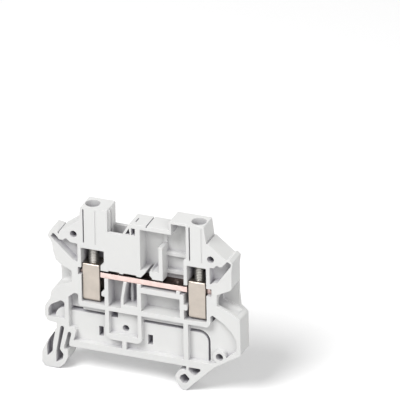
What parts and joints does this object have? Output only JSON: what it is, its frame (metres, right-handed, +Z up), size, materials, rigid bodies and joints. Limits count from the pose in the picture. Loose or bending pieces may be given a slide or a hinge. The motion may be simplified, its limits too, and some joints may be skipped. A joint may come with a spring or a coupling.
{
  "type": "feed-through terminal block",
  "caption": "Slim feed-through terminal block for a 35 mm rail, with an open-fronted moulded housing, a copper bar and a screw clamp at each end.",
  "frame": {"origin": "middle of the 35 mm rail, on the plane of the rail's two flanges, at half the block's thickness", "axes": "+X along the block from the latch foot to the hook foot, +Y through its thickness from the open front face to the closed back wall, +Z up from the rail"},
  "size_m": [0.0575, 0.0074, 0.0502],
  "materials": {
    "housing_plastic": "pale grey-white moulded polyamide, satin, with light mould marks",
    "copper": "tinned copper strip, stamped, with a warm pink copper tone",
    "nickel_sleeve": "nickel plated strip, satin, warm grey-beige",
    "screw_steel": "zinc plated steel, satin"
  },
  "bodies": {
    "block": {"housing": "housing_plastic", "current_bar": "copper"},
    "left_screw": {"left_clamp_screw": "screw_steel"},
    "right_screw": {"right_clamp_screw": "screw_steel"},
    "left_sleeve": {"left_clamp_sleeve": "nickel_sleeve"},
    "right_sleeve": {"right_clamp_sleeve": "nickel_sleeve"}
  },
  "joints": [
    {"name": "left_screw_turn", "type": "hinge", "parent": "block", "child": "left_screw", "pos_m": [-0.00965, -0.00015, 0.03], "axis": [0, 0, 1], "range_deg": [-2880, 0]},
    {"name": "right_screw_turn", "type": "hinge", "parent": "block", "child": "right_screw", "pos_m": [0.02085, -0.00015, 0.03], "axis": [0, 0, 1], "range_deg": [-2880, 0]},
    {"name": "left_sleeve_lift", "type": "slide", "parent": "block", "child": "left_sleeve", "axis": [0, 0, 1], "range_m": [0, 0.004]},
    {"name": "right_sleeve_lift", "type": "slide", "parent": "block", "child": "right_sleeve", "axis": [0, 0, 1], "range_m": [0, 0.004]}
  ],
  "couplings": [
    {"joint": "left_screw_turn", "follows": "left_sleeve_lift", "rad_per_m": -12566},
    {"joint": "right_screw_turn", "follows": "right_sleeve_lift", "rad_per_m": -12566}
  ]
}
